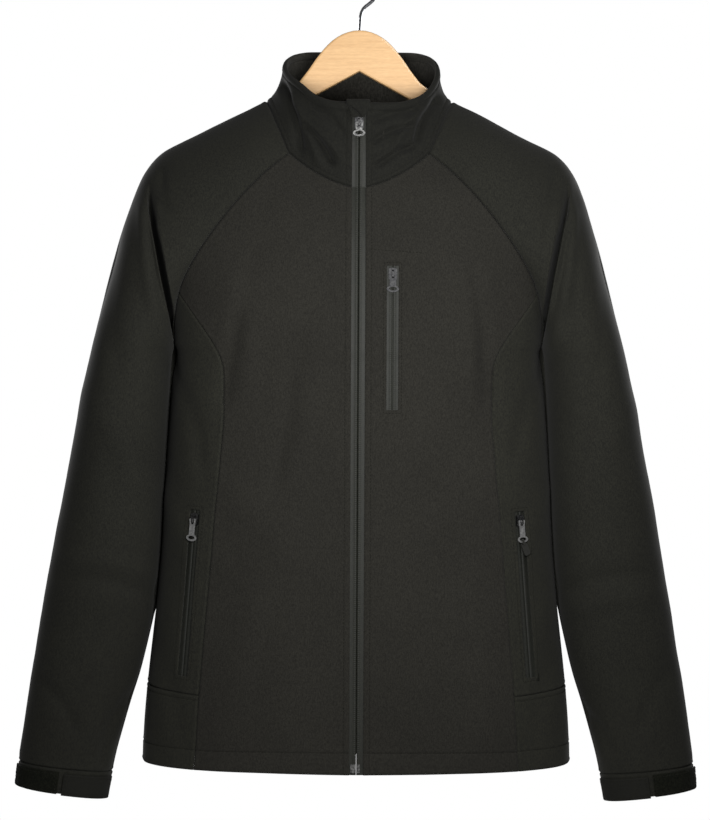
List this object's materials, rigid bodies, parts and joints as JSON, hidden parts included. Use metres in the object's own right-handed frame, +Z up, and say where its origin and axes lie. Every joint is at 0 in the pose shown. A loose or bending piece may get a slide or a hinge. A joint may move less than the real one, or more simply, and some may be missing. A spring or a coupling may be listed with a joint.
{
  "type": "softshell jacket on a wooden hanger",
  "caption": "Zip-front raglan softshell jacket with stand collar, chest and hand pocket zips and cuff tabs, hanging on a plain wooden hanger",
  "frame": {"origin": "the inside top of the hook's loop, where the rail touches it", "axes": "+Z up; +X to the right as the front faces the viewer; +Y from front to back"},
  "size_m": [0.728, 0.1882, 0.8863],
  "materials": {
    "softshell_chest": "matt fine weave",
    "softshell_body": "matt fine weave",
    "softshell_sleeve": "matt fine weave",
    "softshell_collar": "matt fine weave",
    "fleece_inside": "brushed",
    "loop_tape": "looped pile",
    "tab": "bonded, matt",
    "zip_tape": "coated, satin",
    "zip_metal": "dark, satin",
    "zip_end": "satin",
    "wood": "clear lacquer",
    "hook_wire": "polished"
  },
  "bodies": {
    "jacket": {"front_centre_left": "softshell_chest", "front_side_upper_left": "softshell_body", "front_side_lower_left": "softshell_body", "sleeve_front_left": "softshell_sleeve", "sleeve_back_left": "softshell_sleeve", "cuff_band_left": "softshell_sleeve", "cuff_strip_left": "loop_tape", "cuff_tab_left": "tab", "main_zip_tape_left": "zip_tape", "hand_zip_tape_left": "zip_tape", "hand_zip_left_slider": "zip_metal", "front_centre_right": "softshell_chest", "front_side_upper_right": "softshell_body", "front_side_lower_right": "softshell_body", "sleeve_front_right": "softshell_sleeve", "sleeve_back_right": "softshell_sleeve", "cuff_band_right": "softshell_sleeve", "cuff_strip_right": "loop_tape", "cuff_tab_right": "tab", "main_zip_tape_right": "zip_tape", "hand_zip_tape_right": "zip_tape", "hand_zip_right_slider": "zip_metal", "back": "softshell_body", "collar_outer": "softshell_collar", "collar_inner": "fleece_inside", "zip_garage": "softshell_collar", "chest_zip_tape": "zip_tape", "chest_zip_slider": "zip_metal", "main_zip_slider": "zip_metal", "main_zip_box": "zip_end", "main_zip_pin": "zip_end", "hanger_wood": "wood", "hanger_hook": "hook_wire"},
    "main_pull": {"main_zip_pull": "zip_metal"},
    "chest_pull": {"chest_zip_pull": "zip_metal"},
    "hand_pull_left": {"hand_zip_left_pull": "zip_metal"},
    "hand_pull_right": {"hand_zip_right_pull": "zip_metal", "hand_zip_right_tab": "tab"}
  },
  "joints": [
    {"name": "main_pull_swing", "type": "hinge", "parent": "jacket", "child": "main_pull", "pos_m": [0, -0.07759, -0.16785], "axis": [-1, 0, 0], "range_deg": [0, 85]},
    {"name": "chest_pull_swing", "type": "hinge", "parent": "jacket", "child": "chest_pull", "pos_m": [0.03575, -0.0947, -0.32642], "axis": [-0.9998, -0.022, 0.0001], "range_deg": [0, 150]},
    {"name": "hand_pull_left_swing", "type": "hinge", "parent": "jacket", "child": "hand_pull_left", "pos_m": [-0.17191, -0.06415, -0.58282], "axis": [-0.8581, 0.5094, 0.0648], "range_deg": [0, 150]},
    {"name": "hand_pull_right_swing", "type": "hinge", "parent": "jacket", "child": "hand_pull_right", "pos_m": [0.17191, -0.06415, -0.58282], "axis": [-0.8581, -0.5094, -0.0648], "range_deg": [0, 150]}
  ]
}
